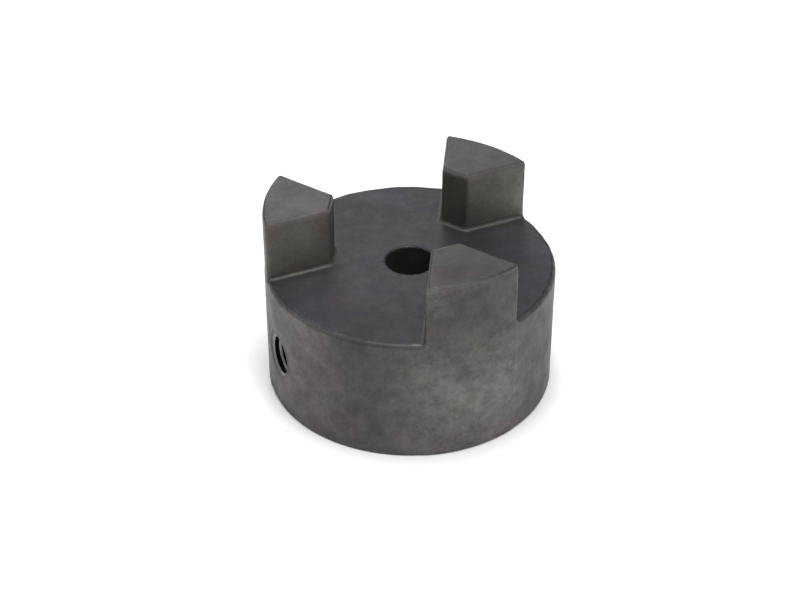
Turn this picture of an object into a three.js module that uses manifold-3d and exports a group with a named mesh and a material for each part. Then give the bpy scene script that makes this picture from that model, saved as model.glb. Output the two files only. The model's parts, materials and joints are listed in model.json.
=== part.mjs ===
// One hub of a three-jaw shaft coupling, with the socket set screw that clamps it to its shaft.
// Millimetres, +Z up. The origin is the centre of the flat back face, which the hub stands on.
// +Z runs along the bore towards the jaws, -X out of the tapped hole, and one jaw points to -Y.
import * as THREE from "three";
import { mergeVertices } from "three/addons/utils/BufferGeometryUtils.js";
import Module from "manifold-3d";

// ---- Driving dimensions: the hub ----
const OUTER_RADIUS = 26.8;
const BODY_HEIGHT = 24.4;
const JAW_HEIGHT = 11.8;
const BORE_RADIUS = 4.5;
const JAW_COUNT = 3;
const FIRST_JAW_ANGLE = THREE.MathUtils.degToRad(30);
const JAW_INNER_DISTANCE = 14.2; // from the bore's axis to a jaw's flat inner face
const SPIDER_LEG_HALF_WIDTH = 4.7; // each jaw flank stands this far off the radial plane beside it
const BACK_EDGE = 0.5; // edge break round the back face
const FRONT_EDGE = 0.9; // rounding of the body's edge on the jaw side
const JAW_TIP_EDGE = 0.7; // edge break round each jaw's tip
const JAW_INNER_CORNER = 1.1; // radius of the two upright corners nearest the bore

// ---- Driving dimensions: the tapped hole and its 5/16-18 set screw ----
const THREAD_RADIUS = 3.97;
const THREAD_PITCH = 25.4 / 18;
const HOLE_HEIGHT = 11.2; // from the back face up to the hole's axis
const SCREW_CLEARANCE = 0.32;
const SCREW_LENGTH = 9.5;
const SCREW_TIP_DISTANCE = 5; // from the bore's axis, so the tip stands just clear of the bore
const SCREW_END_EDGE = 0.6;
const CUP_RADIUS = 2.2;
const CUP_DEPTH = 1;
const SOCKET_ACROSS_FLATS = 3.97;
const SOCKET_DEPTH = 4;

// ---- Fineness of the facets ----
const HUB_SEGMENTS = 96;
const HOLE_SEGMENTS = 32;
const CORNER_STEPS = 3;

const OVERRUN = 3; // how far a cutting or joining solid runs past the face it must reach
const JAW_HALF_SPREAD = Math.PI / (2 * JAW_COUNT); // half the angle between a jaw's two flanks
const TOTAL_HEIGHT = BODY_HEIGHT + JAW_HEIGHT;

const wasm = await Module();
wasm.setup();

// A closed three.js geometry as a solid that can be joined and cut.
function toSolid(geometry) {
  const bare = geometry.clone();
  for (const name of Object.keys(bare.attributes)) {
    if (name !== "position") bare.deleteAttribute(name);
  }
  const merged = mergeVertices(bare, 1e-4);
  return new wasm.Manifold(
    new wasm.Mesh({
      numProp: 3,
      vertProperties: new Float32Array(merged.attributes.position.array),
      triVerts: new Uint32Array(merged.index.array),
    }),
  );
}

function toGeometry(solid) {
  const { vertProperties, triVerts } = solid.getMesh();
  const geometry = new THREE.BufferGeometry();
  geometry.setAttribute("position", new THREE.BufferAttribute(vertProperties, 3));
  geometry.setIndex(new THREE.BufferAttribute(triVerts, 1));
  geometry.computeVertexNormals();
  return geometry;
}

// The points of a quarter round of the given radius, from angle start onwards.
function quarterRound(centreX, centreY, radius, start) {
  return Array.from({ length: CORNER_STEPS + 1 }, (_, i) => {
    const angle = start + (i / CORNER_STEPS) * (Math.PI / 2);
    return new THREE.Vector2(
      centreX + radius * Math.cos(angle),
      centreY + radius * Math.sin(angle),
    );
  });
}

// A ring about the bore: flat back, broken back edge, upright wall and rounded top edge.
function ring(height, topEdge) {
  const profile = [
    new THREE.Vector2(BORE_RADIUS, 0),
    new THREE.Vector2(OUTER_RADIUS - BACK_EDGE, 0),
    new THREE.Vector2(OUTER_RADIUS, BACK_EDGE),
    ...quarterRound(OUTER_RADIUS - topEdge, height - topEdge, topEdge, 0),
    new THREE.Vector2(BORE_RADIUS, height),
    new THREE.Vector2(BORE_RADIUS, 0),
  ];
  return toSolid(new THREE.LatheGeometry(profile, HUB_SEGMENTS).rotateX(Math.PI / 2));
}

// The prism that one jaw is cut from, pointing along +X: a flat inner face and two straight flanks
// that run past the outer wall, each parallel to the middle plane of the spider leg beside it.
function jawPrism() {
  const slope = Math.tan(JAW_HALF_SPREAD);
  const setBack = SPIDER_LEG_HALF_WIDTH / Math.cos(JAW_HALF_SPREAD);
  const halfWidth = (x) => x * slope - setBack;
  const far = OUTER_RADIUS + OVERRUN;
  const inner = JAW_INNER_DISTANCE;
  const tangent = JAW_INNER_CORNER * Math.tan((Math.PI / 2 - JAW_HALF_SPREAD) / 2);
  const arcX = inner + JAW_INNER_CORNER;
  const arcY = halfWidth(inner) - tangent;
  const flankTurn = Math.PI / 2 + JAW_HALF_SPREAD;
  const outline = new THREE.Shape();
  outline.moveTo(far, -halfWidth(far));
  outline.lineTo(far, halfWidth(far));
  outline.absarc(arcX, arcY, JAW_INNER_CORNER, flankTurn, Math.PI, false);
  outline.absarc(arcX, -arcY, JAW_INNER_CORNER, Math.PI, 2 * Math.PI - flankTurn, false);
  outline.closePath();
  const prism = new THREE.ExtrudeGeometry(outline, {
    depth: JAW_HEIGHT + OVERRUN - 2 * JAW_TIP_EDGE,
    curveSegments: CORNER_STEPS,
    bevelSegments: 2,
    bevelThickness: JAW_TIP_EDGE,
    bevelSize: JAW_TIP_EDGE,
    bevelOffset: -JAW_TIP_EDGE,
  });
  return prism.translate(0, 0, BODY_HEIGHT - OVERRUN + JAW_TIP_EDGE);
}

// The tapped hole as a plain cylinder at its thread's outer diameter, from the outer wall to the bore.
function tappedHole() {
  const length = OUTER_RADIUS + OVERRUN;
  const hole = new THREE.CylinderGeometry(THREAD_RADIUS, THREAD_RADIUS, length, HOLE_SEGMENTS);
  return toSolid(hole.rotateZ(Math.PI / 2).translate(-length / 2, 0, HOLE_HEIGHT));
}

function hubGeometry() {
  const tallRing = ring(TOTAL_HEIGHT, JAW_TIP_EDGE);
  let hub = ring(BODY_HEIGHT, FRONT_EDGE);
  for (let i = 0; i < JAW_COUNT; i++) {
    const angle = FIRST_JAW_ANGLE + (i * 2 * Math.PI) / JAW_COUNT;
    hub = hub.add(tallRing.intersect(toSolid(jawPrism().rotateZ(angle))));
  }
  return toGeometry(hub.subtract(tappedHole()));
}

// The set screw about its own +Y axis: cup point at the bottom, hexagon socket in the top.
function screwGeometry() {
  const radius = THREAD_RADIUS - SCREW_CLEARANCE;
  const profile = [
    new THREE.Vector2(0, CUP_DEPTH),
    new THREE.Vector2(CUP_RADIUS, 0),
    new THREE.Vector2(radius, radius - CUP_RADIUS),
    new THREE.Vector2(radius, SCREW_LENGTH - SCREW_END_EDGE),
    new THREE.Vector2(radius - SCREW_END_EDGE, SCREW_LENGTH),
    new THREE.Vector2(0, SCREW_LENGTH),
  ];
  const blank = toSolid(new THREE.LatheGeometry(profile, HOLE_SEGMENTS));
  const corner = SOCKET_ACROSS_FLATS / Math.sqrt(3);
  const socket = new THREE.CylinderGeometry(corner, corner, 2 * SOCKET_DEPTH, 6);
  return toGeometry(blank.subtract(toSolid(socket.translate(0, SCREW_LENGTH, 0))));
}

function material(color, roughness, metalness) {
  return new THREE.MeshStandardMaterial({ color, roughness, metalness });
}

const hub = new THREE.Mesh(hubGeometry(), material(0x5c5c5e, 0.65, 0.6));
hub.name = "hub";

// At rest the screw is drawn back just clear of the bore, deep inside its hole.
const setScrew = new THREE.Mesh(screwGeometry(), material(0x2b2c2f, 0.45, 0.8));
setScrew.name = "set_screw";
setScrew.rotation.z = Math.PI / 2;
setScrew.position.set(-SCREW_TIP_DISTANCE, 0, HOLE_HEIGHT);
setScrew.userData = { travelPerTurn: THREAD_PITCH };

const jawCouplingHub = new THREE.Group();
jawCouplingHub.add(hub, setScrew);

export default jawCouplingHub;
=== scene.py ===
"""Looks of one jaw coupling hub and its set screw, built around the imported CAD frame."""

import json
import math

import bpy
import numpy as np
from mathutils import Matrix, Vector


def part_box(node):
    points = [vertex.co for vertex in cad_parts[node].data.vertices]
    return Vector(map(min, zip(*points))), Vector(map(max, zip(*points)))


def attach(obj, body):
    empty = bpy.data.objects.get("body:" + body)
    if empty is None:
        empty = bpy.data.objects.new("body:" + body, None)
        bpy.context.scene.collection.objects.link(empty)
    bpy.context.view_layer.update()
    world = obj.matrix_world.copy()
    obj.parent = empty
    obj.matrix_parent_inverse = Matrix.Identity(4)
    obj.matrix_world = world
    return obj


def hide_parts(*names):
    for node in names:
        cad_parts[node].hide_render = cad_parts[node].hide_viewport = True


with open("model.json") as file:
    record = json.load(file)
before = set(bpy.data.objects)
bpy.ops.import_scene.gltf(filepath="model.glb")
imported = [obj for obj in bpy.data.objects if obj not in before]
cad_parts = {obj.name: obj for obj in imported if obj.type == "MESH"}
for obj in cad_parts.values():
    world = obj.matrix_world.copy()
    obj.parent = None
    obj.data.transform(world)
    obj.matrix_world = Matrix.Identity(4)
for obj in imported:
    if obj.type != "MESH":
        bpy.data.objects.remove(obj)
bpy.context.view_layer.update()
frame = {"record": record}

MM = 0.001


def mount(name):
    """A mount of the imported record: its place in millimetres, and its axis."""
    found = next(m for m in frame["record"]["mounts"] if m["name"] == name)
    return np.array(found["pos_m"]) / MM, np.array(found["axis"])


# ---- Sizes in millimetres, taken from the frame where the frame holds them ----
HUB_LOW, HUB_HIGH = (np.array(corner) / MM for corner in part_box("hub"))
SCREW_LOW, SCREW_HIGH = (np.array(corner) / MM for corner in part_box("set_screw"))
OUTER_RADIUS = float(HUB_HIGH[0])
TIP_HEIGHT = float(HUB_HIGH[2])
SEAT_HEIGHT = float(mount("spider_seat")[0][2])
FLANK_POINT, FLANK_NORMAL = mount("drive_flank_right")
FLANK_OFFSET = abs(float(FLANK_POINT @ FLANK_NORMAL))
HOLE_HEIGHT = float(SCREW_LOW[2] + SCREW_HIGH[2]) / 2
SCREW_TIP = -float(SCREW_HIGH[0])
SCREW_END = -float(SCREW_LOW[0])

BORE_RADIUS = 4.5
JAW_INNER = 14.2
FIRST_JAW = math.radians(30)
JAW_SPACING = math.radians(120)
FLANK_SLANT = math.radians(30)

# Roundings and chamfers. The chamfer round the jaws' tips is deeper at one knocked corner.
SEAT_BEVEL = 0.75
TIP_BEVEL_ACROSS = 0.35
TIP_BEVEL_DOWN = 0.65
KNOCK_TURN = math.radians(252)
KNOCK_SPREAD = 6
KNOCK_DEPTH = 0.7
BEVEL_SOFTENING = 0.25
OUTER_TIP_ROUND = 0.4
JAW_SIDE_ROUND = 0.9
JAW_CORNER_ROUND = 0.45
ROOT_FILLET = 0.7
BACK_ROUND = 0.55
BORE_ROUND = 0.22
KNOCKED_CORNER = np.array((
    OUTER_RADIUS * math.cos(KNOCK_TURN), OUTER_RADIUS * math.sin(KNOCK_TURN), TIP_HEIGHT))

# Uneven edges and a dented skin, each from waves: seed, how many, shortest and longest length.
EDGE_WEAR = 0.1
EDGE_WAVES = (11, 10, 2.5, 9)
SKIN_DENT = 0.012
SKIN_WAVES = (12, 12, 3, 14)
USUAL_DENTS = 1.6
MOST_DENTS = 4

# The tapped hole and the set screw: 5/16-18.
PITCH = 25.4 / 18
THREAD_OUTER = 3.97
THREAD_INNER = 3.30
THREAD_PLAY = 0.08
THREAD_START = 0.05
TAP_TURNS = 22
SCREW_TURNS = 11
SINK_RADIUS = 4.4
SINK_DEPTH = 1.15
TOOL_OVERSHOOT = 2
CUP_RADIUS = 2.1
CUP_LIP = 0.2
CUP_DEPTH = 1
SCREW_END_EDGE = 0.75
SOCKET_ACROSS_FLATS = 3.97
SOCKET_DEPTH = 4
SOCKET_POINT = 0.6

# The grid that the hub's surface is found on, and how near to it a point counts as on it.
CELL = 0.37
ON_SURFACE = 2e-3


# ---- The hub's form as a distance field: below zero inside ----
def round_max(a, b, radius):
    """The intersection of two fields, its edge rounded."""
    corner = np.hypot(np.maximum(a + radius, 0), np.maximum(b + radius, 0))
    return np.minimum(np.maximum(a, b), -radius) + corner


def soft_bevel(a, b, leg_a, leg_b):
    """The intersection of two fields, its edge cut off by a chamfer with softened borders."""
    chamfer = (a * leg_b + b * leg_a + leg_a * leg_b) / np.hypot(leg_a, leg_b)
    return round_max(round_max(a, chamfer, BEVEL_SOFTENING), b, BEVEL_SOFTENING)


def fillet_min(a, b, radius):
    """The union of two fields, its inside corner filled with a fillet."""
    corner = np.hypot(np.maximum(radius - a, 0), np.maximum(radius - b, 0))
    return np.maximum(np.minimum(a, b), radius) - corner


def waves(points, seed, count, shortest, longest):
    """Smooth noise between about -1 and 1: a sum of waves in seeded random directions."""
    rng = np.random.default_rng(seed)
    total = np.zeros(points.shape[:-1])
    for _ in range(count):
        direction = rng.normal(size=3)
        direction *= 2 * math.pi / rng.uniform(shortest, longest) / np.linalg.norm(direction)
        total += np.sin(points @ direction + rng.uniform(0, 2 * math.pi))
    return total / math.sqrt(count)


def jaw_section(x, y):
    """Distance to the nearest jaw's outline in plan, open on its outer side."""
    radius = np.hypot(x, y)
    turn = np.mod(np.arctan2(y, x) - FIRST_JAW + JAW_SPACING / 2, JAW_SPACING) - JAW_SPACING / 2
    along = radius * np.cos(turn)
    across = radius * np.abs(np.sin(turn))
    flank = FLANK_OFFSET - along * math.sin(FLANK_SLANT) + across * math.cos(FLANK_SLANT)
    return round_max(JAW_INNER - along, flank, JAW_CORNER_ROUND)


def hub_field(points):
    """Signed distance, in millimetres, to the hub before its side hole is drilled and tapped."""
    x, y, z = points[..., 0], points[..., 1], points[..., 2]
    radius = np.hypot(x, y)
    wear = 1 + EDGE_WEAR * waves(points, *EDGE_WAVES)
    knocked = np.exp(-((points - KNOCKED_CORNER) ** 2).sum(-1) / KNOCK_SPREAD**2)
    knock = wear * (1 + KNOCK_DEPTH * knocked)
    wall = radius - OUTER_RADIUS
    jaws = round_max(jaw_section(x, y), wall, JAW_SIDE_ROUND * wear)
    jaws = soft_bevel(jaws, z - TIP_HEIGHT, TIP_BEVEL_ACROSS * knock, TIP_BEVEL_DOWN * knock)
    body = soft_bevel(wall, z - SEAT_HEIGHT, SEAT_BEVEL * wear, SEAT_BEVEL * wear)
    solid = fillet_min(body, jaws, ROOT_FILLET)
    solid = round_max(solid, wall, OUTER_TIP_ROUND)
    solid = round_max(solid, -z, BACK_ROUND * wear)
    solid = round_max(solid, BORE_RADIUS - radius, BORE_ROUND)
    skin = SKIN_DENT * (USUAL_DENTS + waves(points, *SKIN_WAVES)).clip(0, MOST_DENTS)
    return solid + skin


def gradient(field, points, step=0.02):
    """The field's slope, which points straight out of the surface."""
    slopes = [field(points + offset) - field(points - offset) for offset in np.eye(3) * step]
    return np.stack(slopes, -1) / (2 * step)


def surface_bend(field, points, step=0.15):
    """How sharply the surface bends, in 1/mm: above zero on outer edges, below in inner corners."""
    around = sum(field(points + offset) + field(points - offset) for offset in np.eye(3) * step)
    return (around - 6 * field(points)) / step**2


# ---- The field's zero surface as a mesh ----
def crossing_points(values, axes, cell):
    """The number of each grid cell that the surface crosses, and a point in it near the surface."""
    cells = tuple(n - 1 for n in values.shape)
    total = np.zeros((*cells, 3))
    hits = np.zeros(cells)
    for axis in range(3):
        others = [a for a in range(3) if a != axis]
        for shift in ((0, 0), (0, 1), (1, 0), (1, 1)):
            near = [slice(0, n) for n in cells]
            for a, s in zip(others, shift):
                near[a] = slice(s, cells[a] + s)
            far = list(near)
            far[axis] = slice(1, cells[axis] + 1)
            a, b = values[tuple(near)], values[tuple(far)]
            crossed = (a < 0) != (b < 0)
            share = np.where(crossed, a / np.where(crossed, a - b, 1), 0)
            for k in range(3):
                shape = [1, 1, 1]
                shape[k] = -1
                place = np.broadcast_to(axes[k][near[k]].reshape(shape), cells)
                if k == axis:
                    place = place + share * cell
                total[..., k] += np.where(crossed, place, 0)
            hits += crossed
    active = hits > 0
    number = np.full(cells, -1)
    number[active] = np.arange(int(active.sum()))
    return number, total[active] / hits[active][:, None]


def cells_around(number, edges, b, c):
    """The numbers of the four cells round each grid edge, in order."""
    ring = []
    for step_b, step_c in ((-1, -1), (0, -1), (0, 0), (-1, 0)):
        cell = edges.copy()
        cell[:, b] += step_b
        cell[:, c] += step_c
        ring.append(number[tuple(cell.T)])
    return np.stack(ring, -1)


def crossing_quads(inside, number):
    """A quad that faces outwards, round each grid edge that the surface crosses."""
    quads = []
    for axis in range(3):
        b, c = (axis + 1) % 3, (axis + 2) % 3
        first = [slice(1, n - 1) for n in inside.shape]
        first[axis] = slice(0, inside.shape[axis] - 1)
        second = list(first)
        second[axis] = slice(1, inside.shape[axis])
        starts_in, ends_in = inside[tuple(first)], inside[tuple(second)]
        for crossed, order in ((starts_in & ~ends_in, 1), (~starts_in & ends_in, -1)):
            edges = np.argwhere(crossed)
            edges[:, [b, c]] += 1
            quads.append(cells_around(number, edges, b, c)[:, ::order])
    return np.concatenate(quads)


def surface_net(field, low, high, cell, slabs=16):
    """Points and quads of a field's zero surface: one point in each cell that it crosses."""
    axes = [np.arange(low[i] - 2 * cell, high[i] + 3 * cell, cell) for i in range(3)]
    grid = np.stack(np.meshgrid(*axes, indexing="ij"), -1)
    values = np.concatenate([field(slab) for slab in np.array_split(grid, slabs)])
    number, points = crossing_points(values, axes, cell)
    return points, crossing_quads(values < 0, number)


def settle(field, points, rounds=3):
    """Moves points onto the field's zero surface."""
    for _ in range(rounds):
        slope = gradient(field, points)
        step = field(points) / (slope**2).sum(-1)
        points = points - slope * step[:, None]
    return points


# ---- Meshes ----
def new_mesh_object(name, points, faces):
    """A mesh object from points in millimetres."""
    mesh = bpy.data.meshes.new(name)
    mesh.from_pydata((np.asarray(points) * MM).tolist(), [], [list(face) for face in faces])
    mesh.update()
    made = bpy.data.objects.new(name, mesh)
    bpy.context.scene.collection.objects.link(made)
    return made


def read_all(items, key, width=1, kind=float):
    """One value of every vertex, corner or face of a mesh, as an array."""
    values = np.empty(len(items) * width, kind)
    items.foreach_get(key, values)
    return values.reshape(-1, width) if width > 1 else values


def carve(piece, *steps):
    """Applies boolean steps, each an operation and a tool that is used up, to the piece's mesh."""
    for operation, tool in steps:
        modifier = piece.modifiers.new(operation, "BOOLEAN")
        modifier.operation = operation
        modifier.object = tool
        modifier.solver = "MANIFOLD"
    bpy.context.view_layer.update()
    depsgraph = bpy.context.evaluated_depsgraph_get()
    carved = bpy.data.meshes.new_from_object(piece.evaluated_get(depsgraph))
    piece.modifiers.clear()
    piece.data = carved
    for _, tool in steps:
        bpy.data.objects.remove(tool)


def cover(piece, material):
    """Gives the whole piece one material."""
    piece.data.materials.clear()
    piece.data.materials.append(material)
    piece.data.polygons.foreach_set("material_index", [0] * len(piece.data.polygons))


def mark(piece, name, values):
    """Stores one number at each vertex, which the piece's material reads by name."""
    layer = piece.data.attributes.new(name, "FLOAT", "POINT")
    layer.data.foreach_set("value", np.asarray(values, np.float32))


# ---- Round solids along the tapped hole: distance out from the bore's axis, and radius ----
def hole_point(out, radius, turn):
    return (-out, radius * math.cos(turn), HOLE_HEIGHT - radius * math.sin(turn))


def turned(name, profile, segments=64):
    """A solid turned about the hole's axis from (out, radius) pairs that start and end on it."""
    points = [hole_point(profile[0][0], 0, 0)]
    for out, radius in profile[1:-1]:
        for i in range(segments):
            points.append(hole_point(out, radius, 2 * math.pi * i / segments))
    points.append(hole_point(profile[-1][0], 0, 0))
    last = len(points) - 1
    rings = len(profile) - 2
    outermost = 1 + (rings - 1) * segments
    faces = []
    for i in range(segments):
        j = (i + 1) % segments
        faces.append((0, 1 + j, 1 + i))
        for ring in range(rings - 1):
            a, b = 1 + ring * segments, 1 + (ring + 1) * segments
            faces.append((a + i, a + j, b + j, b + i))
        faces.append((last, outermost + i, outermost + j))
    return new_mesh_object(name, points, faces)


def thread_rod(name, start, turns, inner, outer, columns=56):
    """A threaded rod about the hole's axis: a right-hand helix of four lines a turn."""
    crest, root = (-1 / 16, 1 / 16), (3 / 8, 5 / 8)
    lines = [(place, outer) for place in crest] + [(place, inner) for place in root]
    steps = turns * columns
    points = []
    for step in range(steps + 1):
        turn = step / columns
        for place, radius in lines:
            points.append(hole_point(start + PITCH * (turn + place), radius, 2 * math.pi * turn))

    def at(step, line):
        return step * len(lines) + line

    faces = []
    for step in range(steps):
        ahead = step + 1
        for line in range(len(lines) - 1):
            faces.append((at(step, line), at(ahead, line), at(ahead, line + 1), at(step, line + 1)))
    for step in range(steps - columns):
        after = step + columns
        faces.append((at(step, 3), at(step + 1, 3), at(after + 1, 0), at(after, 0)))
    low_loop = [at(step, 0) for step in range(columns + 1)] + [at(0, line) for line in (3, 2, 1)]
    high_loop = [at(step, 3) for step in range(steps - columns, steps + 1)]
    high_loop += [at(steps, line) for line in (2, 1, 0)]
    points.append(hole_point(start, 0, 0))
    points.append(hole_point(start + PITCH * turns, 0, 0))
    low, high = len(points) - 2, len(points) - 1
    faces += [(low, b, a) for a, b in zip(low_loop, low_loop[1:] + low_loop[:1])]
    faces += [(high, a, b) for a, b in zip(high_loop, high_loop[1:] + high_loop[:1])]
    return new_mesh_object(name, points, faces)


# ---- The hub ----
def make_hub():
    """The sintered hub, with its side hole countersunk and tapped right through to the bore."""
    points, quads = surface_net(hub_field, HUB_LOW, HUB_HIGH, CELL)
    piece = new_mesh_object("hub_casting", settle(hub_field, points), quads)
    low, high = OUTER_RADIUS - SINK_DEPTH, OUTER_RADIUS + TOOL_OVERSHOOT
    narrow = SINK_RADIUS - SINK_DEPTH
    wide = narrow + (high - low)
    sink = turned("sink", [(low, 0), (low, narrow), (high, wide), (high, 0)])
    tap = thread_rod("tap", THREAD_START, TAP_TURNS, THREAD_INNER, THREAD_OUTER)
    carve(piece, ("DIFFERENCE", sink), ("DIFFERENCE", tap))
    return piece


def smooth_step(value, low, high):
    """Rises smoothly from 0 at low to 1 at high."""
    share = ((value - low) / (high - low)).clip(0, 1)
    return share * share * (3 - 2 * share)


# Stains, clean patches and painted light and shade, such as a painted shadow on the seat: turn
# about the bore in degrees from +X, radius, height and spread in millimetres, then how much warmer
# and how much lighter the iron is there.
STAINS_WITH_PAINTED_LIGHT = (
    (186, 26.8, 13, 11, 0.8, 0.0),
    (184, 26.8, 22, 6, 0.0, -0.41),
    (203, 26.8, 5, 8, 1.0, -0.06),
    (203, 26.8, 18, 6, 0.5, 0.04),
    (228, 26.8, 20, 9, 0.0, -0.30),
    (224, 26.8, 23, 5, 0.0, -0.03),
    (229, 26.8, 8, 8, 0.0, -0.24),
    (247, 26.8, 3, 6, 0.6, 0.26),
    (251, 26.8, 15, 7, -0.5, 0.36),
    (268, 26.8, 11, 4, -0.8, 0.20),
    (273, 26.8, 13, 6, 0.0, 0.22),
    (266, 26.8, 17, 1.8, 0.0, -0.34),
    (281, 26.8, 12, 8, -0.5, 0.36),
    (280, 26.8, 2, 8, 0.5, 0.35),
    (274, 25.0, 32, 8, 0.1, -0.20),
    (312, 26.8, 14, 12, 0.6, -0.14),
    (318, 26.8, 12, 8, 0.0, -0.49),
    (194, 23.0, 24.4, 7, 0.2, 0.53),
    (223, 17.0, 24.4, 8, 0.0, -0.16),
    (103, 16.0, 24.4, 8, 0.0, -0.25),
    (345, 24.0, 24.4, 9, 0.0, 0.31),
    # Painted shadow on the seat between the right-hand and the front jaw.
    (0, 12.5, 24.4, 7, 0.0, -0.37),
    (24, 24.0, 36, 4, 0.9, 0.06),
    (12, 21.0, 36, 4, 0.9, -0.03),
    (167, 16.0, 36, 3.5, 1.1, -0.03),
    (166, 14.5, 32, 2.5, 1.4, -0.2),
    (262, 24.0, 36, 4, 1.0, -0.17),
    (251, 26.8, 35.6, 2.5, -1.2, 0.34),
    (266, 26.8, 35.5, 1.8, -0.2, 0.2),
    (270, 20.0, 36, 6, 0.2, -0.10),
    (10, 20.0, 26, 4, 0.0, 0.06),
    (10, 20.0, 34, 5, 0.0, -0.20),
    (163, 19.0, 31, 6, 0.0, 0.20),
    (163, 19.0, 33.5, 3, 0.0, 0.2),
    (173, 27.0, 31, 5, 0.0, -0.16),
    (75, 26.8, 12, 9, 0.8, 0.08),
    (110, 26.8, 15, 8, -0.6, -0.15),
    (140, 26.8, 7, 9, 0.5, 0.10),
    (20, 26.8, 9, 9, -0.5, -0.14),
)


def patches(points):
    """How warm and how light the stains and the painted light and shade make each point."""
    warm = np.zeros(len(points))
    light = np.zeros(len(points))
    for turn, radius, height, spread, warmth, lightness_with_painted_light in STAINS_WITH_PAINTED_LIGHT:
        angle = math.radians(turn)
        centre = np.array((radius * math.cos(angle), radius * math.sin(angle), height))
        share = np.exp(-((points - centre) ** 2).sum(1) / spread**2)
        warm += share * warmth
        light += share * lightness_with_painted_light
    return warm, light


def mark_hub(piece, points, slope, formed):
    """Marks each point's face, its stains and its painted light and shade; points that aren't
    formed are cut by the side hole.
    """
    height = points[:, 2]
    radius = np.hypot(points[:, 0], points[:, 1])
    bend = surface_bend(hub_field, points)
    above_seat = smooth_step(height, SEAT_HEIGHT + 0.1, SEAT_HEIGHT + 0.9)
    outward = (slope[:, :2] * points[:, :2]).sum(1) / radius
    on_wall = smooth_step(outward, -0.05, 0.4)
    warm, light = patches(points)
    mark(piece, "jaw", above_seat)
    mark(piece, "jaw_side", above_seat * (1 - on_wall))
    mark(piece, "rise", ((height - SEAT_HEIGHT) / (TIP_HEIGHT - SEAT_HEIGHT)).clip(0, 1))
    mark(piece, "bore", smooth_step(BORE_RADIUS + 1.2 - radius, 0.4, 1))
    mark(piece, "edge", smooth_step(bend, 0.45, 1.5) * formed)
    mark(piece, "root", smooth_step(-bend, 0.45, 1.6) * formed)
    mark(piece, "cut", ~formed)
    mark(piece, "inner", smooth_step(-outward, 0.6, 0.95) * above_seat)
    mark(piece, "warm", warm)
    # The light mark holds the stains' lightness together with painted light and shade.
    mark(piece, "light", light)


def smooth_hub(piece, slope, formed):
    """Takes the normals from the hub's field wherever the side hole hasn't cut it."""
    mesh = piece.data
    corner_vertex = read_all(mesh.loops, "vertex_index", kind=int)
    face_sizes = read_all(mesh.polygons, "loop_total", kind=int)
    face_normals = read_all(mesh.polygons, "normal", 3)
    owner = np.repeat(np.arange(len(face_sizes)), face_sizes)
    normals = slope[corner_vertex]
    agrees = (normals * face_normals[owner]).sum(1) > 0.5
    normals[~(agrees & formed[corner_vertex])] = 0
    mesh.set_sharp_from_angle(angle=math.radians(38))
    mesh.normals_split_custom_set(normals.tolist())


def finish_hub(piece):
    """The hub's marks and its smooth normals."""
    points = read_all(piece.data.vertices, "co", 3) / MM
    slope = gradient(hub_field, points)
    slope /= np.linalg.norm(slope, axis=1)[:, None]
    formed = np.abs(hub_field(points)) < ON_SURFACE
    mark_hub(piece, points, slope, formed)
    smooth_hub(piece, slope, formed)


# ---- The set screw ----
def make_screw():
    """The set screw: a turned blank with a cup point, its thread, and its hexagon socket."""
    inner, outer = THREAD_INNER - THREAD_PLAY, THREAD_OUTER - THREAD_PLAY
    lip = CUP_RADIUS + CUP_LIP
    piece = turned("set_screw_body", [
        (SCREW_TIP + CUP_DEPTH, 0), (SCREW_TIP, CUP_RADIUS), (SCREW_TIP, lip),
        (SCREW_TIP + outer - lip, outer), (SCREW_END - SCREW_END_EDGE, outer),
        (SCREW_END, outer - SCREW_END_EDGE), (SCREW_END, 0)])
    rod = thread_rod("rod", THREAD_START + 2 * PITCH, SCREW_TURNS, inner, outer)
    corner = SOCKET_ACROSS_FLATS / math.sqrt(3)
    bottom = SCREW_END - SOCKET_DEPTH
    mouth = SCREW_END + 1
    socket = turned("socket", [
        (bottom - SOCKET_POINT, 0), (bottom, corner), (mouth, corner), (mouth, 0)], 6)
    carve(piece, ("INTERSECT", rod), ("DIFFERENCE", socket))
    piece.data.set_sharp_from_angle(angle=math.radians(30))
    return piece


# ---- Shader nodes ----
def new_material(name):
    """A new material, its node tree and its shader."""
    made = bpy.data.materials.new(name)
    made.use_nodes = True
    return made, made.node_tree, made.node_tree.nodes["Principled BSDF"]


def put(tree, socket, value):
    """Links another node's output to a socket, or sets the socket's own value."""
    if isinstance(value, bpy.types.NodeSocket):
        tree.links.new(value, socket)
    elif socket.type == "RGBA":
        socket.default_value = (*value, 1)
    else:
        socket.default_value = value


def calc(tree, operation, *values):
    """A Math node's result."""
    made = tree.nodes.new("ShaderNodeMath")
    made.operation = operation
    for socket, value in zip(made.inputs, values):
        put(tree, socket, value)
    return made.outputs[0]


def product(tree, first, *others):
    """Several numbers multiplied together."""
    for other in others:
        first = calc(tree, "MULTIPLY", first, other)
    return first


def darker(tree, amount, most):
    """A factor that falls from 1, where the amount is 0, by the most given, where it is 1."""
    return calc(tree, "MULTIPLY_ADD", amount, -most, 1)


def vector_calc(tree, operation, *values):
    """A Vector Math node, its inputs filled."""
    made = tree.nodes.new("ShaderNodeVectorMath")
    made.operation = operation
    for socket, value in zip(made.inputs, values):
        put(tree, socket, value)
    return made


def scaled(tree, vector, factor):
    """A place or colour times one number."""
    made = vector_calc(tree, "SCALE", vector)
    put(tree, made.inputs["Scale"], factor)
    return made.outputs[0]


def place_in_mm(tree):
    """Where a point is on its own piece, in millimetres."""
    return scaled(tree, tree.nodes.new("ShaderNodeTexCoord").outputs["Object"], 1 / MM)


def part_of(tree, vector, axis):
    """A vector's X, Y or Z."""
    made = tree.nodes.new("ShaderNodeSeparateXYZ")
    put(tree, made.inputs[0], vector)
    return made.outputs[axis]


def stretch(tree, place, factors):
    """The place with each axis scaled by its own factor."""
    return vector_calc(tree, "MULTIPLY", place, factors).outputs[0]


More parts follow.
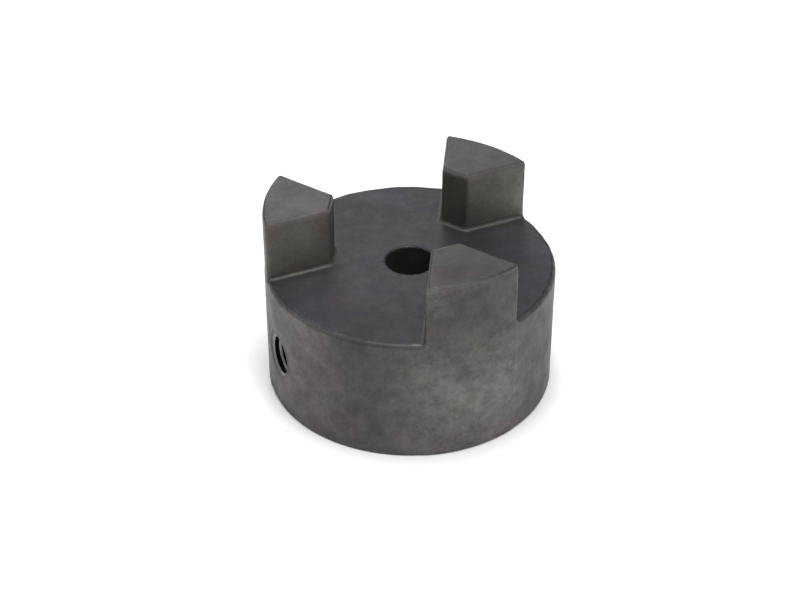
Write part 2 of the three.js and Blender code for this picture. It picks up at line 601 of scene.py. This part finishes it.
def noise(tree, place, size, seed, detail=3.0, roughness=0.55):
    """Cloudy noise around 0.5, its features about the given size in millimetres."""
    made = tree.nodes.new("ShaderNodeTexNoise")
    made.noise_dimensions = "4D"
    put(tree, made.inputs["Vector"], place)
    put(tree, made.inputs["W"], seed * 7.3)
    put(tree, made.inputs["Scale"], 1 / size)
    put(tree, made.inputs["Detail"], detail)
    put(tree, made.inputs["Roughness"], roughness)
    return made.outputs["Fac"]


def from_cell_middle(tree, place, size):
    """Distance from the middle of scattered cells of the given size in millimetres."""
    made = tree.nodes.new("ShaderNodeTexVoronoi")
    put(tree, made.inputs["Vector"], place)
    put(tree, made.inputs["Scale"], 1 / size)
    return made.outputs["Distance"]


def marked(tree, name):
    """A number that the piece's mesh holds at each vertex."""
    made = tree.nodes.new("ShaderNodeAttribute")
    made.attribute_name = name
    return made.outputs["Fac"]


def ramp(tree, value, low, high, start=0.0, end=1.0):
    """Goes smoothly from start, where the value is low, to end, where it is high."""
    made = tree.nodes.new("ShaderNodeMapRange")
    made.interpolation_type = "SMOOTHSTEP"
    for name, given in (("Value", value), ("From Min", low), ("From Max", high)):
        put(tree, made.inputs[name], given)
    put(tree, made.inputs["To Min"], start)
    put(tree, made.inputs["To Max"], end)
    return made.outputs["Result"]


def mix(tree, amount, first, second, mode="MIX"):
    """Two colours mixed by an amount between 0 and 1."""
    made = tree.nodes.new("ShaderNodeMix")
    made.data_type = "RGBA"
    made.blend_type = mode
    sockets = {socket.identifier: socket for socket in made.inputs}
    put(tree, sockets["Factor_Float"], amount)
    put(tree, sockets["A_Color"], first)
    put(tree, sockets["B_Color"], second)
    return next(socket for socket in made.outputs if socket.identifier == "Result_Color")


def bump(tree, height, distance, strength=1.0, normal=None):
    """A bump from a height between 0 and 1, which stands the given distance in millimetres."""
    made = tree.nodes.new("ShaderNodeBump")
    put(tree, made.inputs["Height"], height)
    put(tree, made.inputs["Distance"], distance * MM)
    put(tree, made.inputs["Strength"], strength)
    if normal:
        put(tree, made.inputs["Normal"], normal)
    return made.outputs["Normal"]


# ---- Sintered iron ----
IRON_DARK = (0.077, 0.076, 0.0755)
IRON_LIGHT = (0.094, 0.093, 0.0925)
# The seat's, tips', jaw sides' and chamfers' tones are partly the iron's own and partly painted
# light and shade: darker on the level faces that the top lamp lights, paler on the upright sides
# and chamfers.
SEAT_TONE_WITH_PAINTED_SHADE = (0.0305, 0.0302, 0.0307)
TIP_TONE_WITH_PAINTED_SHADE = (0.0505, 0.0505, 0.0505)
FLANK_TONE_WITH_PAINTED_LIGHT = (0.157, 0.160, 0.142)
BEVEL_TONE_WITH_PAINTED_LIGHT = (0.130, 0.129, 0.125)
WORN_EDGE = (0.105, 0.100, 0.094)
ROOT_TINT = (0.080, 0.079, 0.073)
PIT_TINT = (0.02, 0.018, 0.016)
SINK_TINT = (0.28, 0.275, 0.263)
# Cut metal in the tapped hole: grooves painted near black as shade, crests painted bright as a
# highlight on the bare metal.
GROOVE_IN_PAINTED_SHADE = (0.012, 0.012, 0.012)
BARE_CREST_WITH_PAINTED_HIGHLIGHT = (0.85, 0.84, 0.82)
WARM_SHIFT = (1.10, 0.97, 0.94)
GREEN_SHIFT = (0.99, 1.01, 0.93)
BLUE_SHIFT = (0.972, 0.95, 1.135)

# How much of their colour these take on, where they are strongest; the tips' colour holds painted
# shade.
TIP_SHARE = 0.85
RUBBED_SHARE = 0.3
PIT_SHARE = 0.75

IRON_METALLIC = 0.45
IRON_SPECULAR = 0.35

# How much darker these places are than the faces around them: painted shade on the jaws' inner
# faces, on the brink bands and in the bore, and a dark rim round the side hole.
INNER_FACE_SHADE = 0.28
BRINK_SHADE = 0.38
BORE_SHADE = 0.4
HOLE_RIM_SHADE = 0.4

# The rim shade reaches this far out round the side hole, and only on the hole's side of the hub.
HOLE_RIM_WIDTH = 0.55
HOLE_RIM_NONE_X = -24
HOLE_RIM_FULL_X = -25.5

# On the countersink's cone, the distance from the hole's axis plus X comes to this.
SINK_CONE = SINK_RADIUS - OUTER_RADIUS


def iron_noises(tree, place):
    """The iron's mottling, from clouds down to grain."""
    return {
        "cloud": noise(tree, place, 3.2, 2, 5, 0.62),
        "smudge": noise(tree, place, 1.8, 7, 4, 0.7),
        "fleck": noise(tree, place, 0.9, 3, 3, 0.65),
        "grain": noise(tree, place, 0.3, 4, 2, 0.6),
    }


def hub_faces(tree):
    """How much a point belongs to each kind of face, from the hub's marks and how level it is."""
    level = part_of(tree, tree.nodes.new("ShaderNodeTexCoord").outputs["Normal"], "Z")
    upright = ramp(tree, level, 0.3, 0.1)
    jaw = marked(tree, "jaw")
    body = calc(tree, "SUBTRACT", 1, jaw)
    not_root = calc(tree, "SUBTRACT", 1, marked(tree, "root"))
    # The jaws' sides take more of their pale tone low down: painted light.
    paler_low_painted_light = ramp(tree, marked(tree, "rise"), 1, 0, 0.7, 1)
    # The brink: a band along the tips' and the seat's edges, darkened as painted shade where the
    # top lamp's highlight falls.
    brink_painted_shade = product(tree, ramp(tree, level, 0.55, 0.85), ramp(tree, level, 0.995, 0.93), not_root)
    return {
        "seat": product(tree, body, ramp(tree, level, 0.75, 0.97, 0, 0.9)),
        "tip": product(tree, jaw, ramp(tree, level, 0.45, 0.95)),
        "bevel": product(tree, jaw, ramp(tree, level, 0.1, 0.3)),
        "flank": product(tree, marked(tree, "jaw_side"), paler_low_painted_light, upright),
        "inner": product(tree, marked(tree, "inner"), upright),
        "brink_painted_shade": product(tree, brink_painted_shade, calc(tree, "MULTIPLY_ADD", jaw, 0.4, 0.6)),
    }


def face_colour(tree, faces, noises, worn):
    """The iron's colour on each kind of face, before its stains and shades: partly its own tone and
    partly painted light and shade, darker on the seat and tips, paler on the jaws' sides and
    chamfers.
    """
    colour = mix(tree, ramp(tree, noises["cloud"], 0.34, 0.66), IRON_DARK, IRON_LIGHT)
    colour = mix(tree, faces["seat"], colour, SEAT_TONE_WITH_PAINTED_SHADE)
    colour = mix(tree, faces["flank"], colour, FLANK_TONE_WITH_PAINTED_LIGHT)
    colour = mix(tree, faces["bevel"], colour, BEVEL_TONE_WITH_PAINTED_LIGHT)
    colour = mix(tree, product(tree, faces["tip"], TIP_SHARE), colour, TIP_TONE_WITH_PAINTED_SHADE)
    root = product(tree, marked(tree, "root"), ramp(tree, noises["fleck"], 0.35, 0.6, 0.5, 0.9))
    colour = mix(tree, root, colour, ROOT_TINT)
    off_tip = calc(tree, "MULTIPLY_ADD", faces["tip"], -RUBBED_SHARE, RUBBED_SHARE)
    return mix(tree, product(tree, worn, off_tip), colour, WORN_EDGE)


def stained(tree, place, seat, colour):
    """The colour with slight warm and green stains, and bluer on parts of the seat."""
    broad = noise(tree, place, 9, 1, 3, 0.6)
    warmth = calc(tree, "MULTIPLY_ADD", marked(tree, "warm"), 0.16, broad)
    colour = mix(tree, ramp(tree, warmth, 0.52, 0.70), colour, WARM_SHIFT, "MULTIPLY")
    colour = mix(tree, ramp(tree, warmth, 0.49, 0.34), colour, GREEN_SHIFT, "MULTIPLY")
    blue = product(tree, seat, ramp(tree, noise(tree, place, 12, 10, 2), 0.42, 0.52))
    return mix(tree, blue, colour, BLUE_SHIFT, "MULTIPLY")


def iron_shade(tree, faces, noises, rim):
    """How bright the iron is: its stains with painted light and shade, its mottling, painted shade
    in the bore, on the jaws' inner faces and on the brink bands, and a dark rim round the side
    hole.
    """
    return product(
        tree,
        # The light mark: stains with painted light and shade.
        calc(tree, "ADD", marked(tree, "light"), 1),
        ramp(tree, noises["cloud"], 0.25, 0.75, 0.92, 1.08),
        ramp(tree, noises["smudge"], 0.25, 0.75, 0.88, 1.12),
        ramp(tree, noises["grain"], 0.25, 0.75, 0.90, 1.10),
        darker(tree, rim, HOLE_RIM_SHADE),
        # Painted shade on the jaws' inner faces, on the brink bands and in the bore.
        darker(tree, faces["inner"], INNER_FACE_SHADE),
        darker(tree, faces["brink_painted_shade"], BRINK_SHADE),
        darker(tree, marked(tree, "bore"), BORE_SHADE),
    )


def iron_pits(tree, place, fleck):
    """Small scattered pits, with hardly any on the jaws' sides."""
    middle = from_cell_middle(tree, place, 1.7)
    pit = ramp(tree, calc(tree, "MULTIPLY_ADD", fleck, 0.12, middle), 0.17, 0.11)
    here = ramp(tree, noise(tree, place, 4, 6), 0.5, 0.6)
    return product(tree, pit, here, darker(tree, marked(tree, "jaw_side"), 0.9))


def side_hole(tree, place):
    """How much a point is on the dark rim round the side hole, and the cut metal's colour: a bare
    cone, with the thread's grooves painted near black as shade and its crests painted bright as a
    highlight.
    """
    from_axis = vector_calc(tree, "ADD", place, (0, 0, -HOLE_HEIGHT)).outputs[0]
    radius = vector_calc(tree, "LENGTH", stretch(tree, from_axis, (0, 1, 1))).outputs["Value"]
    x = part_of(tree, place, "X")
    near_hole = ramp(tree, radius, SINK_RADIUS + HOLE_RIM_WIDTH, SINK_RADIUS)
    rim = product(tree, near_hole, ramp(tree, x, HOLE_RIM_NONE_X, HOLE_RIM_FULL_X))
    # The thread's crests are painted bright as a highlight, its grooves near black as shade.
    crest = ramp(tree, radius, THREAD_INNER + 0.1, THREAD_INNER + 0.03)
    past_cone = ramp(tree, calc(tree, "ADD", radius, x), SINK_CONE + 0.03, SINK_CONE + 0.1)
    return rim, mix(tree, past_cone, SINK_TINT, mix(tree, crest, GROOVE_IN_PAINTED_SHADE, BARE_CREST_WITH_PAINTED_HIGHLIGHT))


def iron_roughness(tree, cloud, worn, cut):
    """Matt, a little smoother on worn edges and on cut metal."""
    rough = ramp(tree, cloud, 0.3, 0.7, 0.56, 0.46)
    rough = calc(tree, "SUBTRACT", rough, calc(tree, "MULTIPLY", worn, 0.1))
    return calc(tree, "SUBTRACT", rough, calc(tree, "MULTIPLY", cut, 0.16))


def iron_bumps(tree, place, noises, pit):
    """Faint upright draw marks, flecks, grain and pits."""
    drawn = noise(tree, stretch(tree, place, (1, 1, 0.06)), 0.5, 5, 2, 0.5)
    normal = bump(tree, drawn, 0.012, 0.5)
    normal = bump(tree, noises["fleck"], 0.04, 0.5, normal)
    normal = bump(tree, noises["grain"], 0.025, 0.8, normal)
    return bump(tree, pit, -0.08, 1, normal)


def sintered_iron():
    """Matt grey sintered iron: cloudy stains, fine grain, small pits, edges worn lighter, with
    painted light and shade on its faces, in its bore and in the tapped hole.
    """
    made, tree, shader = new_material("sintered_iron")
    place = place_in_mm(tree)
    noises = iron_noises(tree, place)
    faces = hub_faces(tree)
    rim, cut_metal_with_painted_light = side_hole(tree, place)
    cut = marked(tree, "cut")
    pit = iron_pits(tree, place, noises["fleck"])
    worn = product(tree, marked(tree, "edge"), ramp(tree, noises["smudge"], 0.45, 0.62))

    colour = face_colour(tree, faces, noises, worn)
    colour = stained(tree, place, faces["seat"], colour)
    colour = scaled(tree, colour, iron_shade(tree, faces, noises, rim))
    colour = mix(tree, product(tree, pit, PIT_SHARE), colour, PIT_TINT)
    colour = mix(tree, cut, colour, cut_metal_with_painted_light)
    put(tree, shader.inputs["Base Color"], colour)
    put(tree, shader.inputs["Roughness"], iron_roughness(tree, noises["cloud"], worn, cut))
    put(tree, shader.inputs["Metallic"], IRON_METALLIC)
    put(tree, shader.inputs["Specular IOR Level"], IRON_SPECULAR)
    put(tree, shader.inputs["Normal"], iron_bumps(tree, place, noises, pit))
    return made


# ---- Blackened steel ----
BLACK_STEEL = (0.045, 0.045, 0.05)
RUBBED_STEEL = (0.16, 0.155, 0.15)
STEEL_GRAIN = (0.02, 0.02, 0.022)
STEEL_METALLIC = 0.9


def blackened_steel():
    """Black oxide on steel, rubbed through a little on its crests."""
    made, tree, shader = new_material("blackened_steel")
    place = place_in_mm(tree)
    cloud = noise(tree, place, 1.6, 8, 4, 0.6)
    grain = noise(tree, place, 0.15, 9, 2)
    crest = tree.nodes.new("ShaderNodeNewGeometry").outputs["Pointiness"]
    rubbed = product(tree, ramp(tree, crest, 0.5, 0.62), ramp(tree, cloud, 0.4, 0.6, 0.2, 1))
    colour = mix(tree, rubbed, BLACK_STEEL, RUBBED_STEEL)
    colour = mix(tree, ramp(tree, grain, 0.3, 0.7, 0, 0.3), colour, STEEL_GRAIN)
    put(tree, shader.inputs["Base Color"], colour)
    put(tree, shader.inputs["Roughness"], ramp(tree, cloud, 0.3, 0.7, 0.3, 0.46))
    put(tree, shader.inputs["Metallic"], STEEL_METALLIC)
    put(tree, shader.inputs["Normal"], bump(tree, grain, 0.012, 0.5))
    return made


# ---- Pale paper, for the floor ----
FLOOR_DARK = (0.93, 0.93, 0.93)
FLOOR_LIGHT = (0.95, 0.95, 0.95)
WHITE = (1.0, 1.0, 1.0)
GLOW_START = 250
GLOW_FULL = 1100


def pale_paper():
    """The pale floor, with a trace of grain, which glows far out so that it stays pale there."""
    made, tree, shader = new_material("pale_paper")
    place = place_in_mm(tree)
    grain = noise(tree, place, 60, 12, 4)
    colour = mix(tree, ramp(tree, grain, 0.3, 0.7), FLOOR_DARK, FLOOR_LIGHT)
    out = vector_calc(tree, "LENGTH", place).outputs["Value"]
    put(tree, shader.inputs["Base Color"], colour)
    put(tree, shader.inputs["Roughness"], 0.9)
    put(tree, shader.inputs["Specular IOR Level"], 0.2)
    put(tree, shader.inputs["Emission Color"], WHITE)
    put(tree, shader.inputs["Emission Strength"], ramp(tree, out, GLOW_START, GLOW_FULL))
    return made


# ---- The pieces ----
hub = make_hub()
finish_hub(hub)
cover(hub, sintered_iron())
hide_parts("hub")
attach(hub, "hub")

screw = make_screw()
cover(screw, blackened_steel())
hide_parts("set_screw")
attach(screw, "set_screw")

# ---- Camera: turned from -Y and raised, aimed near the bore's axis at the seat's height ----
CAMERA_TURN = math.radians(-24.915)
CAMERA_RISE = math.radians(34.98)
CAMERA_ROLL = math.radians(0.07)
CAMERA_DISTANCE = 326.9
CAMERA_RIGHT = -1.871
CAMERA_UP = -7.320
LENS = 80.16
SENSOR_WIDTH = 36
CLIP_START = 10
FACING = Matrix.Rotation(CAMERA_TURN, 3, "Z")


def make_camera():
    """The camera, at CAMERA_DISTANCE from the point that it is aimed at."""
    forward = Vector((0, math.cos(CAMERA_RISE), -math.sin(CAMERA_RISE)))
    right = Vector((1, 0, 0))
    up = right.cross(forward)
    place = up * CAMERA_UP + right * CAMERA_RIGHT - forward * CAMERA_DISTANCE
    place = FACING @ place + Vector((0, 0, SEAT_HEIGHT))
    across = right * math.cos(CAMERA_ROLL) + up * math.sin(CAMERA_ROLL)
    upright = up * math.cos(CAMERA_ROLL) - right * math.sin(CAMERA_ROLL)
    axes = Matrix((FACING @ across, FACING @ upright, FACING @ -forward)).transposed()
    camera = bpy.data.objects.new("camera", bpy.data.cameras.new("camera"))
    camera.data.lens = LENS
    camera.data.sensor_width = SENSOR_WIDTH
    camera.data.clip_start = CLIP_START * MM
    camera.matrix_world = Matrix.Translation(place * MM) @ axes.to_4x4()
    bpy.context.scene.collection.objects.link(camera)
    bpy.context.scene.camera = camera


make_camera()

# ---- Floor and light ----
FLOOR_HALF_WIDTH = 12000
SKY_STRENGTH = 0.1
SOFTBOX_DISTANCE = 900
SOFTBOX_SIZE = 500

# Each softbox: degrees to the right of the camera's heading, degrees up, and power in watts.
SOFTBOXES = {
    "top_softbox": (0, 89, 8.8),
    "right_softbox": (135, 60, 2.4),
    "left_softbox": (-120, 55, 1.0),
    "back_softbox": (-10, 25, 1.6),
}


def make_floor():
    corners = [(-1, -1), (1, -1), (1, 1), (-1, 1)]
    points = [(FLOOR_HALF_WIDTH * x, FLOOR_HALF_WIDTH * y, 0) for x, y in corners]
    floor = new_mesh_object("floor", points, [(0, 1, 2, 3)])
    cover(floor, pale_paper())


def make_softbox(name, turn, rise, power):
    """A round soft light, aimed at the bore's axis at the seat's height."""
    light = bpy.data.lights.new(name, "AREA")
    light.shape = "DISK"
    light.size = SOFTBOX_SIZE * MM
    light.energy = power
    heading, height = math.radians(turn), math.radians(rise)
    level = math.cos(height)
    away = Vector((math.sin(heading) * level, math.cos(heading) * level, math.sin(height)))
    holder = bpy.data.objects.new(name, light)
    holder.location = (FACING @ away * SOFTBOX_DISTANCE + Vector((0, 0, SEAT_HEIGHT))) * MM
    holder.rotation_euler = (FACING @ away).to_track_quat("Z", "Y").to_euler()
    bpy.context.scene.collection.objects.link(holder)


def make_sky():
    sky = bpy.data.worlds.new("studio")
    sky.use_nodes = True
    background = sky.node_tree.nodes["Background"]
    background.inputs["Color"].default_value = (*WHITE, 1)
    background.inputs["Strength"].default_value = SKY_STRENGTH
    bpy.context.scene.world = sky


make_floor()
make_sky()
for softbox_name, setting in SOFTBOXES.items():
    make_softbox(softbox_name, *setting)
bpy.context.scene.view_settings.view_transform = "Standard"
